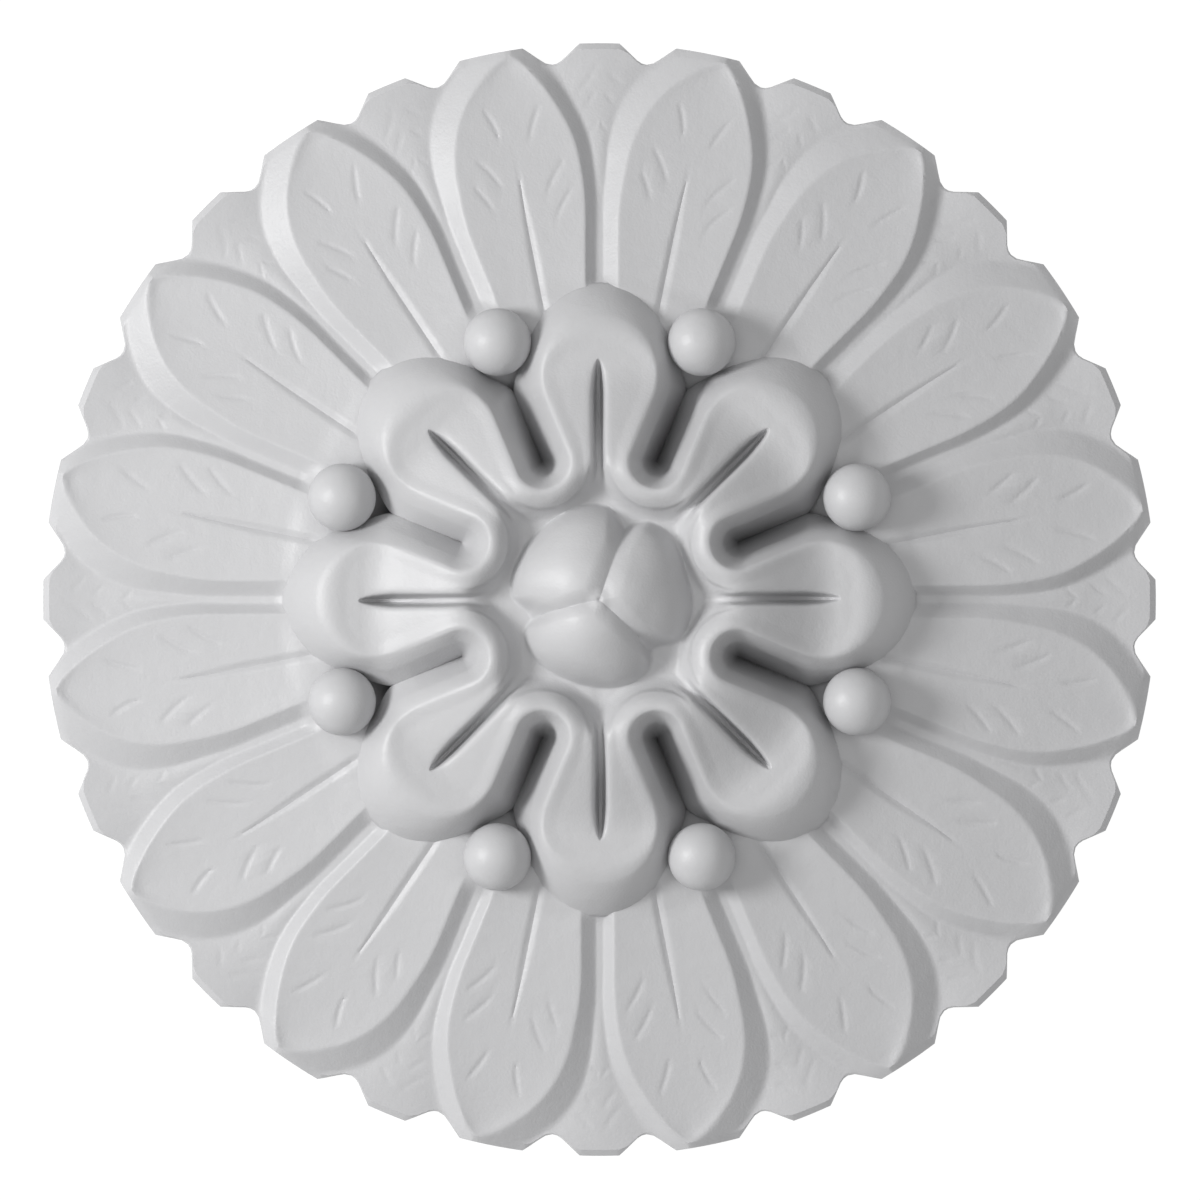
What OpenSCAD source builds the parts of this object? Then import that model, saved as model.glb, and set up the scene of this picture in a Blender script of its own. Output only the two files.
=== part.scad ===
// Ceiling rose: a round moulded casting with a flat back. Sixteen long leaves
// and sixteen small ones spread under an eight-petalled flower, with a bead in
// each gap between the petals and a three-lobed boss in the middle.
// The flat back lies on z = 0 and the carved face looks along +Z.

/* [Rose] */
// Overall diameter, across the leaf tips
rose_d = 450; // [400:1:560]
// Number of petals, and of the beads between them. There are twice as many leaves of each kind.
petal_count = 8; // [7:1:9]

/* [Leaves] */
// Height of the small leaves above the back, at the rim
rim_h = 7; // [4:0.5:12]
// Slope of the leaves up towards the flower, as rise over run
leaf_slope = 0.185; // [0.08:0.005:0.26]
// Length over which that slope eases in from the rim
slope_ease = 10; // [5:1:20]
// Height of a long leaf's edge above the groove beside it, near the flower
lift_in = 4; // [2.5:0.1:6]
// Height of a long leaf's edge above the ground beside it, at the rim
lift_out = 6; // [4:0.1:8]
// How far the face of a long leaf is dished below its edges
leaf_dish = 1; // [0:0.1:2]
// Widest half width of a long leaf's face
leaf_half = 25; // [20:0.5:27]
// Distance from a leaf's tip to its widest place
leaf_arch = 52; // [40:1:65]
// Width of the sloping side of a long leaf, near the flower
side_in = 5.5; // [4:0.1:6.5]
// Width of the sloping side of a long leaf, at the rim
side_out = 11; // [8:0.1:13]
// How far the small leaves are crowned above the ground beside them
small_crown = 1; // [0:0.1:2]

/* [Rim] */
// Width of the arc that ends a small leaf
small_tip_w = 15.7; // [12:0.1:20]
// Width of the arc that ends a long leaf
long_tip_w = 25.5; // [20:0.1:30]
// Depth of the notches between the leaf tips
notch_depth = 7.6; // [4:0.1:10]
// Width of the bevel round the leaf tips
rim_bevel = 2.4; // [1:0.1:4]
// Height of the bevel round the leaf tips
rim_bevel_h = 2.6; // [1:0.1:3.5]

/* [Flower] */
// Radius of the circle on which the centres of the petal ends lie
lobe_at = 91; // [86:0.5:96]
// Half width of the channel between two petals, at its upper edges
channel_half = 11.2; // [9:0.1:13]
// Radius at which the round inner end of a channel has its centre
channel_at = 60.3; // [56:0.1:66]
// Height of the petal ends above the back
lobe_h = 46; // [40:0.5:52]
// Height of the ridge round the boss above the back
crest_h = 65; // [58:0.5:72]
// Radius from which the petals fall away
fall_from = 52; // [48:0.5:58]
// How far outside the centres of the petal ends the petals level out again
fall_beyond = 6; // [3:0.5:12]
// Height of the rounded lip along a petal's edge above its face
lip_h = 1; // [0:0.1:1.5]
// How far the top of that lip lies inside the edge, at a petal's tip
lip_in_tip = 4.5; // [3:0.1:6]
// How far the top of that lip lies inside the edge, along the channels
lip_in_side = 1.8; // [1:0.1:2.5]
// Width of a petal end's sloping outer wall, at its tip
wall_tip = 13.6; // [10:0.1:16]
// Width of the sloping wall along a channel, at its inner end
wall_in = 5; // [4:0.1:6.5]
// Width of the sloping wall along a channel, at its outer end
wall_out = 8.4; // [6:0.1:8.8]
// Height of a channel's floor above the back, at its inner end
channel_floor_h = 28; // [24:0.5:44]

/* [Slits] */
// Distance from a petal's tip to the pointed end of its slit
slit_margin = 17; // [14:0.5:22]
// Half width of the slit at the petal's face, once its edges have rounded over
slit_half = 3.8; // [2.5:0.1:4.5]
// Depth of the slit below the petal's face
slit_depth = 7; // [4:0.1:9]

/* [Boss and beads] */
// Height of the boss above the back, which is the overall projection
boss_h = 75; // [68:0.5:82]
// Radius of the boss's three balls
boss_ball_r = 28; // [25:0.5:30]
// Distance of each ball's centre from the rose's axis
boss_ball_at = 8; // [5:0.5:10]
// Radius of the moat round the boss
moat_r = 37.2; // [34:0.1:39]
// Height of the moat's floor above the back
moat_h = 55; // [50:0.5:58]
// Height of the saddle between the moat and a slit above the back
saddle_h = 59; // [56:0.5:61]
// Radius of a bead
bead_r = 13.7; // [11:0.1:14.5]
// How far outside the centres of the petal ends the beads' centres lie
bead_beyond = 21; // [17:0.5:25]
// Height of the beads' centres above the back
bead_h = 35; // [30:0.5:40]

/* [Hidden] */

rim_r = rose_d / 2;
petal_pitch = 360 / petal_count;
petal_half_angle = petal_pitch / 2;
leaf_count = 2 * petal_count;
leaf_pitch = 360 / leaf_count;
leaf_half_angle = leaf_pitch / 2;
// Radius of a petal's round end, and of the circle that touches all the petal tips
lobe_r = lobe_at * sin(petal_half_angle) - channel_half;
tip_r = lobe_at + lobe_r;
slit_end = tip_r - slit_margin;
fall_to = lobe_at + fall_beyond;
// Radius of a channel's inner end
channel_end = channel_at - channel_half;
// The grooves between the leaves fill up between these radii, under the flower's foot
relief_full = tip_r + wall_tip - 4;
relief_end = relief_full - 12;
// Radii of the leaves' rings, as shares of the way from the flower's foot to the rim
RING_SHARES = [0.88, 0.78, 0.64, 0.45, 0.21, 0];
leaf_run = rim_r - relief_full;
// How far a petal's foot is sunk into the leaves, and the height of its buried underside
foot_sink = 1.5;
flower_bottom_h = 12;
// Half width of the ground between two long leaves where they are closest
groove_half = 0.9;
// How far the edge of a petal's wall lies below the lip
shoulder_drop = 1.2;
// Radius at which the slits open into the moat, and the length over which they deepen
mouth_r = channel_end + 0.8;
slit_ramp = 12;
// The long leaves' sides grow from this radius to this distance from the rim
growth_from = relief_full + 0.3 * leaf_run;
growth_inset = 10;
// The small leaves start at this radius, and are fully crowned this far on
small_leaf_from = relief_full + 0.35 * leaf_run;
small_leaf_run = 0.35 * leaf_run;
// Gap between the rim and the point of a long leaf's face
face_inset = 3;
cone_turn = 0.9;
ball_facets = 48;
degrees_per_radian = 180 / PI;

function mix(a, b, t) = a + (b - a) * t;
function clamp01(t) = min(1, max(0, t));
function smooth(t) = let (u = clamp01(t)) u * u * (3 - 2 * u);
function polar(r, a) = [r * sin(a), r * cos(a)];
function turned(p, a) = [p[0] * cos(a) + p[1] * sin(a), p[1] * cos(a) - p[0] * sin(a)];
function at_height(p, z) = [p[0], p[1], z];

// ---- leaves ----

// Ground between the leaves: a line that eases in from the rim
function ground(r) =
    let (u = rim_r - r)
    rim_h + leaf_slope * (u - slope_ease * (1 - exp(-max(0, u) / slope_ease)));

// Share of the way over which the long leaves' sides grow wider and higher
function outward(r) = clamp01((r - growth_from) / (rim_r - growth_inset - growth_from));
function lift(r) = mix(lift_in, lift_out, outward(r));
// Share of the grooves' depth that is left at a radius: they fill up towards the flower
function relief(r) = smooth((r - relief_end) / (relief_full - relief_end));
function side_w(r) = mix(side_in, side_out, outward(r));

// Half width of a long leaf's face: a pointed arch at the tip, and a wedge
// between the neighbouring grooves further in
function face_half(r) =
    let (
        u = clamp01((rim_r - face_inset - r) / leaf_arch),
        arch = leaf_half * pow(1 - (1 - u) * (1 - u), 0.6),
        wedge = r * leaf_half_angle / degrees_per_radian - side_w(r) - groove_half
    )
    min(arch, wedge);

// Angles of a sector's columns from a small leaf's axis to a long leaf's axis:
// small leaf, ground, foot of the side, side, edge of the face, and face
function inner_angles(r) =
    let (
        half_w = r * leaf_half_angle / degrees_per_radian,
        edge = half_w - face_half(r),
        foot = edge - side_w(r),
        per_mm = degrees_per_radian / r
    )
    [for (w = [0, 0.45 * foot, 0.8 * foot, foot, mix(foot, edge, 0.3), mix(foot, edge, 0.65), edge])
        w * per_mm];

// The same columns at the rim, where they mark the tips and the notches
function rim_angles() =
    let (
        small = small_tip_w / 2 / rim_r * degrees_per_radian,
        long = leaf_half_angle - long_tip_w / 2 / rim_r * degrees_per_radian,
        notch = (small + long) / 2
    )
    [0, small, mix(small, notch, 0.6), notch, mix(long, notch, 0.6), long, mix(long, leaf_half_angle, 0.65)];

// How deep the outline is cut at each of those columns, as a share of the notch
NOTCH_SHARE = [0, 0, 0.75, 1, 0.75, 0, 0];
// How high each column stands between the ground and the leaf's edge
LIFT_SHARE = [0, 0, 0, 0, 0.3, 0.65, 1];
CROWN_SHARE = [1, 0.8, 0.35, 0, 0, 0, 0];
SIDE_COLUMNS = len(LIFT_SHARE);

// A sector's values from its small leaf round to the next one, with the long
// leaf's axis in the middle
function both_sides(list, middle) =
    [for (v = list) v, middle, for (i = [SIDE_COLUMNS - 1:-1:1]) list[i]];
function sector_angles(list) =
    [for (v = list) v, leaf_half_angle, for (i = [SIDE_COLUMNS - 1:-1:1]) leaf_pitch - list[i]];

notch_shares = both_sides(NOTCH_SHARE, 0);
lift_shares = both_sides(LIFT_SHARE, 1);
crown_shares = both_sides(CROWN_SHARE, 0);
sector_columns = len(lift_shares);

function leaf_z(r, i) =
    let (
        crown = small_crown * smooth((r - small_leaf_from) / small_leaf_run),
        dish = i == SIDE_COLUMNS ? leaf_dish : 0
    )
    ground(r) + lift(r) * mix(1, lift_shares[i], relief(r)) + crown * crown_shares[i] - dish * relief(r);

// One ring of the leaves inside the rim
function leaf_ring(r) =
    let (angles = sector_angles(inner_angles(r)))
    [for (k = [0:leaf_count - 1]) for (i = [0:sector_columns - 1])
        at_height(polar(r, k * leaf_pitch + angles[i]), leaf_z(r, i))];

// A ring that follows the notched outline, set in from it and dropped below the leaves
function rim_ring(inset, drop) =
    let (angles = sector_angles(rim_angles()))
    [for (k = [0:leaf_count - 1]) for (i = [0:sector_columns - 1])
        let (r = rim_r - notch_depth * notch_shares[i] - inset * (1 - 0.7 * notch_shares[i]))
        at_height(polar(r, k * leaf_pitch + angles[i]), leaf_z(r, i) - drop * (1 - 0.7 * notch_shares[i]))];

function flat_ring(ring, z) = [for (p = ring) [p[0], p[1], z]];

// Top of the leaves' faces, and under the flower a plain cone that is the channels' floor
function bed(r) =
    r > relief_end ? ground(r) + lift(r)
        : mix(channel_floor_h, ground(relief_end) + lift(relief_end),
            (r - channel_end) / (relief_end - channel_end));
// Turned a little, so that no edge of the cone meets an edge of the petals at a point
function cone_ring(r, z) =
    let (angles = sector_angles(inner_angles(relief_end)))
    [for (k = [0:leaf_count - 1]) for (i = [0:sector_columns - 1])
        at_height(polar(r, k * leaf_pitch + angles[i] + cone_turn), z)];

// Triangles between neighbouring rings of n points, the first ring being the lower one
function strip_faces(first, second, n) =
    [for (i = [0:n - 1]) let (j = (i + 1) % n) each
        [[first + i, first + j, second + j], [first + i, second + j, second + i]]];
function ring_faces(rings, n) = [for (k = [0:rings - 2]) each strip_faces(k * n, (k + 1) * n, n)];

module leaves() {
    columns = leaf_count * sector_columns;
    outline = rim_ring(0, rim_bevel_h);
    rings = [
        flat_ring(outline, 0),
        outline,
        rim_ring(rim_bevel, 0),
        for (share = RING_SHARES) leaf_ring(relief_full + share * leaf_run),
        leaf_ring(relief_end),
        cone_ring(channel_end, channel_floor_h)
    ];
    points = [for (ring = rings) each ring, [0, 0, channel_floor_h], [0, 0, 0]];
    top = len(points) - 2;
    bottom = len(points) - 1;
    last = (len(rings) - 1) * columns;
    caps = [for (i = [0:columns - 1]) let (j = (i + 1) % columns) each
        [[last + i, last + j, top], [j, i, bottom]]];
    polyhedron(points, [each ring_faces(len(rings), columns), each caps], convexity = 10);
}

// ---- flower ----

// A petal's local axes: x across it and y outward along it.
channel_dir = polar(1, petal_half_angle);
channel_side = polar(1, petal_half_angle + 90);

// Stations round half a petal's edge, from its tip to the channel's inner end:
// [edge point, outward direction, width of the wall, inset of the lip's crest]
function lobe_station(a) =
    let (n = polar(1, a), t = a / (90 + petal_half_angle))
    [[0, lobe_at] + lobe_r * n, n, mix(wall_tip, wall_out, smooth(t * 1.7)), mix(lip_in_tip, lip_in_side, t)];
function side_station(t) =
    let (along = mix(lobe_at * cos(petal_half_angle), channel_at, t))
    [along * channel_dir - channel_half * channel_side, channel_side, mix(wall_out, wall_in, t), lip_in_side];
function end_station(a) =
    let (n = turned(channel_side, -a))
    [channel_at * channel_dir - channel_half * n, n, wall_in, lip_in_side];

LOBE_STEPS = 5;
stations = [
    for (i = [0:LOBE_STEPS]) lobe_station(i * (90 + petal_half_angle) / LOBE_STEPS),
    side_station(0.35), side_station(0.7), side_station(1),
    for (a = [30, 55, 75, 90]) end_station(a)
];
// Where each station's column starts: down the slit's centre line, then round the moat
start_radii = [
    for (i = [0:LOBE_STEPS]) slit_end - 0.38 * i * i,
    mix(slit_end, channel_at, 0.48), mix(slit_end, channel_at, 0.73), channel_at - 1,
    mix(moat_r, channel_at, 0.6), mix(moat_r, channel_at, 0.3), moat_r, moat_r
];
last_station = len(stations) - 1;
// Width over which the surface climbs from the slit, its mouth or the moat to the face
function climb_w(i, run) =
    i >= last_station - 1 ? run
        : i == last_station - 2 ? 1.7 * slit_half
        : i == last_station - 3 ? 1.15 * slit_half
        : slit_half * min(1, 0.45 + 0.14 * i);

function face_z(r) = mix(crest_h, lobe_h, smooth((r - fall_from) / (fall_to - fall_from)));
function floor_z(r) =
    r > mouth_r ? face_z(r) - slit_depth * clamp01((slit_end + slit_ramp / 2 - r) / slit_ramp)
        : mix(moat_h, saddle_h, smooth((r - moat_r) / 8));

// One column over the petal: slit, face, lip, wall and buried foot
function column(i) =
    let (
        s = stations[i],
        start = polar(start_radii[i], i == last_station ? petal_half_angle : 0),
        crest = s[0] - s[3] * s[1],
        foot = s[0] + s[2] * s[1],
        run = norm(crest - start),
        dir = (crest - start) / run,
        w = min(climb_w(i, run), 0.8 * run),
        face = face_z(norm(s[0])),
        floor = floor_z(norm(start)),
        top = face_z(norm(crest)) + lip_h,
        foot_h = bed(norm(foot)) - foot_sink,
        shoulder = face + lip_h - shoulder_drop
    )
    [
        at_height(start, floor),
        for (u = [0.5, 1]) let (p = start + u * w * dir)
            at_height(p, mix(floor, min(top, face_z(norm(p))), smooth(0.15 + 0.85 * u))),
        let (p = mix(start + w * dir, crest, 0.55)) at_height(p, face_z(norm(p)) + 0.3 * lip_h),
        at_height(crest, top),
        at_height(s[0], shoulder),
        for (t = [0.3, 0.65]) at_height(mix(s[0], foot, t), mix(shoulder, foot_h, pow(t, 0.85))),
        at_height(foot, foot_h),
        at_height(foot, flower_bottom_h),
        at_height(start, flower_bottom_h)
    ];

half_columns = [for (i = [0:len(stations) - 1]) column(i)];
function on_moat(col) = norm([col[0][0], col[0][1]]) < moat_r + 0.01;
function mirrored(col) = [for (p = col) [-p[0], p[1], p[2]]];
function turned_column(col, a) = [for (p = col) let (q = turned([p[0], p[1]], a)) [q[0], q[1], p[2]]];

module flower() {
    columns = [for (k = [0:petal_count - 1]) each [
        for (i = [last_station:-1:1]) turned_column(mirrored(half_columns[i]), k * petal_pitch),
        for (i = [0:last_station - 1]) turned_column(half_columns[i], k * petal_pitch)
    ]];
    n = len(columns);
    rows = len(columns[0]);
    points = [for (c = columns) each c, [0, 0, moat_h], [0, 0, flower_bottom_h]];
    top = len(points) - 2;
    bottom = len(points) - 1;
    skin = [for (i = [0:n - 1]) let (j = (i + 1) % n) for (k = [0:rows - 2]) each
        [[i * rows + k, j * rows + k + 1, j * rows + k], [i * rows + k, i * rows + k + 1, j * rows + k + 1]]];
    caps = [for (i = [0:n - 1]) let (j = (i + 1) % n)
        if (on_moat(columns[i]) && on_moat(columns[j])) each
            [[top, i * rows, j * rows], [bottom, j * rows + rows - 1, i * rows + rows - 1]]];
    polyhedron(points, [each skin, each caps], convexity = 12);
}

// ---- boss and beads ----

module boss() {
    for (k = [0:2])
        rotate([0, 0, 120 * k + 15])
            translate([boss_ball_at, 0, boss_h - boss_ball_r])
                sphere(r = boss_ball_r, $fn = ball_facets);
}

module beads() {
    for (k = [0:petal_count - 1])
        rotate([0, 0, (k + 0.5) * petal_pitch])
            translate([lobe_at + bead_beyond, 0, bead_h])
                sphere(r = bead_r, $fn = ball_facets);
}

module ceiling_rose() {
    color("gainsboro")
        union() {
            leaves();
            flower();
            boss();
            beads();
        }
}

ceiling_rose();
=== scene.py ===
"""A moulded ceiling rose in white primer, face up on a pale floor.

The rose is one casting. Its skin is made here as four closed shells that run into each
other: the ring of leaves with its flat back, the eight-petalled flower, the boss and the
ring of beads. Sizes are in millimetres and angles in degrees, measured clockwise from +Y
as seen from the carved side. The flat back lies on z = 0 and the face looks along +Z.
"""

import logging
import math
from dataclasses import dataclass
from enum import Enum
from typing import Union

import bpy
import numpy as np
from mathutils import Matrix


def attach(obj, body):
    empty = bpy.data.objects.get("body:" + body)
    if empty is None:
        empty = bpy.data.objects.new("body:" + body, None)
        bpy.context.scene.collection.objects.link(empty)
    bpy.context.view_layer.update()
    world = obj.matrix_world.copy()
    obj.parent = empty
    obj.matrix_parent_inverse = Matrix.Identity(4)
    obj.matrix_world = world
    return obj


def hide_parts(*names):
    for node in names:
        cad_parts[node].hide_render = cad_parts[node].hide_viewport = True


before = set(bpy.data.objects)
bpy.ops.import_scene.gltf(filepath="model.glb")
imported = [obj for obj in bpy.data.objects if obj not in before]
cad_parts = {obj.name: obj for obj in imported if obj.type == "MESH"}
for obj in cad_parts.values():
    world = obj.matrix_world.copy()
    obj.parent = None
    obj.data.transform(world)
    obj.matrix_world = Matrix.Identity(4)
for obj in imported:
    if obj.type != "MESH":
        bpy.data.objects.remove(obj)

LOG = logging.getLogger("ceiling_rose")
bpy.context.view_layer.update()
CAD_NODE = "ceiling_rose"
BODY = "root"
MM = 0.001

Array = np.ndarray
Pair = tuple[float, float]


# ---------------- numbers and curves


def smooth(t: Array) -> Array:
    """Ease from 0 to 1 with level ends: three t squared less two t cubed."""
    t = np.clip(t, 0.0, 1.0)
    return t * t * (3.0 - 2.0 * t)


def ramp(x: Array, start: float, end: float) -> Array:
    """Eased step of x from 0 at start to 1 at end, which may lie below start."""
    return smooth((x - start) / (end - start))


def mix(a: Array, b: Array, t: Array) -> Array:
    """Value a share t of the way from a to b."""
    return a + (b - a) * t


def soft_ramp(t: Array, foot: Array, head: float) -> Array:
    """Straight ramp from 0 to 1 whose lower and upper corners are rounded.

    Each corner is a parabola: a quarter of (t + k) squared over k within k of it.

    Args:
        t: Place along the ramp.
        foot: How far the lower corner is rounded each way.
        head: How far the upper corner is rounded each way.

    Returns:
        Height of the ramp.
    """
    low = np.clip(t + foot, 0.0, 2.0 * foot) ** 2 / (4.0 * foot) + np.maximum(t - foot, 0.0)
    high = np.clip(t - 1.0 + head, 0.0, 2.0 * head) ** 2 / (4.0 * head) + np.maximum(t - 1.0 - head, 0.0)
    return low - high


def soft_max(a: Array, b: Array, k: float) -> Array:
    """Larger of a and b, with the corner between them filled over a difference of k."""
    h = np.clip(1.0 - np.abs(a - b) / k, 0.0, 1.0)
    return np.maximum(a, b) + h * h * k / 4.0


def soft_min(a: Array, b: Array, k: float) -> Array:
    """Smaller of a and b, with the corner between them rounded over k."""
    return -soft_max(-a, -b, k)


def wrapped(angle: Array, period: float) -> Array:
    """Angle moved by whole periods to within half a period of 0."""
    return np.mod(angle + period / 2, period) - period / 2


def polar(r: Array, angle: Array) -> tuple[Array, Array]:
    """X and Y of a point at radius r and a clockwise angle from +Y."""
    a = np.radians(angle)
    return r * np.sin(a), r * np.cos(a)


def stroke_depth(x: Array, y: Array, stroke: tuple[float, ...]) -> Array:
    """Depth, from 0 to 1, of a chiselled stroke at each point.

    The stroke runs between two ends and bows sideways as a parabola. Its depth falls
    from its middle line to its edges as one less the squared share of the half width,
    and the half width itself swells from nothing at the ends to full in the middle.

    Args:
        x: Points' X.
        y: Points' Y.
        stroke: X and Y of its two ends, and its full width and sideways bow at the middle.

    Returns:
        Depth at each point, 0 outside the stroke.
    """
    x0, y0, x1, y1, width, bow = stroke
    length = math.hypot(x1 - x0, y1 - y0)
    ux, uy = (x1 - x0) / length, (y1 - y0) / length
    along = ((x - x0) * ux + (y - y0) * uy) / length
    across = (x - x0) * uy - (y - y0) * ux
    inside = np.clip(4.0 * along * (1.0 - along), 0.0, 1.0)
    half = 0.5 * width * np.sqrt(inside) + 1e-9
    share = np.clip(1.0 - np.abs(across - bow * inside) / half, 0.0, 1.0)
    return share * (2.0 - share) * inside**0.25 * (along > 0) * (along < 1)


# ---------------- meshes


def closed_skin(rows: int, columns: int) -> Array:
    """Quads between the rows of a grid whose columns run all the way round.

    Args:
        rows: Number of rows, each one lying inside the one before as seen from above.
        columns: Number of points in a row, counted clockwise from above.

    Returns:
        Quads as rows of four indices, facing up where the rows run inwards.
    """
    row = np.arange(rows - 1)[:, None] * columns
    column = np.arange(columns)[None, :]
    after = (column + 1) % columns
    quads = np.stack([row + column, row + columns + column, row + columns + after, row + after], axis=-1)
    return quads.reshape(-1, 4)


def fan(ring: Array, centre: int, upward: bool) -> Array:
    """Triangles from a centre point to a clockwise ring of points.

    Args:
        ring: Indices of the ring's points, clockwise as seen from above.
        centre: Index of the centre point.
        upward: Whether the triangles face up.

    Returns:
        Triangles as rows of three indices.
    """
    after = np.roll(ring, -1)
    middle = np.full_like(ring, centre)
    return np.stack([after, ring, middle] if upward else [ring, after, middle], axis=-1)


def capped(grid: Array, low: tuple, high: tuple) -> tuple[Array, Array, Array]:
    """Close a grid of rings with a fan under its first ring and one over its last.

    Args:
        grid: Points as rows by columns by three, the rows running up and inwards.
        low: Centre of the lower fan.
        high: Centre of the upper fan.

    Returns:
        Points, quads and triangles of one closed shell.
    """
    rows, columns = grid.shape[:2]
    ring = np.arange(columns)
    under = fan(ring, rows * columns, False)
    over = fan(ring + (rows - 1) * columns, rows * columns + 1, True)
    points = np.concatenate([grid.reshape(-1, 3), [low, high]])
    return points, closed_skin(rows, columns), np.concatenate([under, over])


def turned(columns: Array, angle: float) -> Array:
    """A grid turned clockwise round Z by an angle in degrees."""
    c, s = math.cos(math.radians(angle)), math.sin(math.radians(angle))
    x, y, z = columns[..., 0], columns[..., 1], columns[..., 2]
    return np.stack([x * c + y * s, y * c - x * s, z], axis=-1)


def weld(points: Array, quads: Array, triangles: Array) -> tuple[Array, Array, Array]:
    """Join points that lie within a thousandth of a millimetre of each other.

    Args:
        points: Points, one per row.
        quads: Four-sided faces.
        triangles: Three-sided faces.

    Returns:
        Fewer points, and the faces on them.
    """
    _, first, back = np.unique(np.round(points, 3), axis=0, return_index=True, return_inverse=True)
    back = back.ravel()
    triangles = back[triangles]
    flat = (triangles[:, 0] == triangles[:, 1]) | (triangles[:, 1] == triangles[:, 2])
    flat |= triangles[:, 0] == triangles[:, 2]
    return points[first], back[quads], triangles[~flat]


def thinned(mesh: bpy.types.Mesh, keep: float) -> bpy.types.Mesh:
    """A copy of a mesh with only a share of its triangles, fewest where it is flattest."""
    held = bpy.data.objects.new("thinning", mesh)
    bpy.context.scene.collection.objects.link(held)
    thinner = held.modifiers.new("thin", "DECIMATE")
    thinner.ratio = keep
    bpy.context.view_layer.update()
    made = bpy.data.meshes.new_from_object(held.evaluated_get(bpy.context.evaluated_depsgraph_get()))
    bpy.data.objects.remove(held)
    bpy.data.meshes.remove(mesh)
    return made


def make_piece(
    name: str, points: Array, quads: Array, triangles: Array, sharp: float, keep: float = 1.0
) -> bpy.types.Object:
    """Put a closed shell into the scene as a piece of the rose.

    Args:
        name: Name of the piece.
        points: Points in millimetres, one per row.
        quads: Four-sided faces.
        triangles: Three-sided faces.
        sharp: Angle in degrees above which an edge is shaded sharp.
        keep: Share of the triangles to keep.

    Returns:
        The piece, at the origin and unscaled.
    """
    mesh = bpy.data.meshes.new(name)
    mesh.vertices.add(len(points))
    mesh.vertices.foreach_set("co", (points * MM).astype(np.float32).ravel())
    corners = np.concatenate([quads.ravel(), triangles.ravel()]).astype(np.int32)
    sides = np.concatenate([np.full(len(quads), 4), np.full(len(triangles), 3)])
    mesh.loops.add(len(corners))
    mesh.loops.foreach_set("vertex_index", corners)
    mesh.polygons.add(len(sides))
    mesh.polygons.foreach_set("loop_start", np.concatenate([[0], np.cumsum(sides)[:-1]]).astype(np.int32))
    mesh.polygons.foreach_set("use_smooth", np.ones(len(sides), dtype=bool))
    mesh.update(calc_edges=True)
    mesh.validate(verbose=False)
    if keep < 1.0:
        mesh = thinned(mesh, keep)
        mesh.name = name
    mesh.set_sharp_from_angle(angle=math.radians(sharp))
    piece = bpy.data.objects.new(name, mesh)
    bpy.context.scene.collection.objects.link(piece)
    return piece


# ---------------- shader maths

Input = Union["Socket", float, tuple]


class Socket:
    """A node's output that takes part in sums, so that a mask reads as arithmetic."""

    def __init__(self, tree: "NodeTree", output: bpy.types.NodeSocket) -> None:
        """Wrap an output of a node in its tree."""
        self.tree = tree
        self.output = output

    def _math(self, operation: str, *values: Input) -> "Socket":
        """One Math node on the given values."""
        return self.tree.node("ShaderNodeMath", dict(enumerate(values)), operation=operation)

    def __add__(self, other: Input) -> "Socket":
        """Sum."""
        return self._math("ADD", self, other)

    def __mul__(self, other: Input) -> "Socket":
        """Product."""
        return self._math("MULTIPLY", self, other)

    def __sub__(self, other: Input) -> "Socket":
        """Difference."""
        return self._math("SUBTRACT", self, other)

    def clamped(self, low: float, high: float) -> "Socket":
        """Value held between two limits."""
        return self._math("MINIMUM", self._math("MAXIMUM", self, low), high)


class NodeTree:
    """A material's nodes, made through one method."""

    def __init__(self, name: str) -> None:
        """Start an empty material of that name."""
        self.material = bpy.data.materials.new(name)
        self.material.use_nodes = True
        self.tree = self.material.node_tree
        self.tree.nodes.clear()

    def node(self, kind: str, inputs: dict, output: Union[int, str] = 0, **settings: str) -> Socket:
        """Add one node.

        Args:
            kind: The node's type.
            inputs: Values or sockets by input name or number.
            output: Name or number of the output to hand back.
            settings: The node's properties, set first.

        Returns:
            That output, wrapped.
        """
        made = self.tree.nodes.new(kind)
        for key, value in settings.items():
            setattr(made, key, value)
        for key, value in inputs.items():
            if isinstance(value, Socket):
                self.tree.links.new(value.output, made.inputs[key])
            else:
                made.inputs[key].default_value = value
        return Socket(self, made.outputs[output]) if made.outputs else None

    def coated(self, inputs: dict) -> bpy.types.Material:
        """Finish the material with one principled surface that takes these inputs."""
        surface = self.node("ShaderNodeBsdfPrincipled", inputs)
        self.node("ShaderNodeOutputMaterial", {"Surface": surface})
        return self.material


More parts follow.
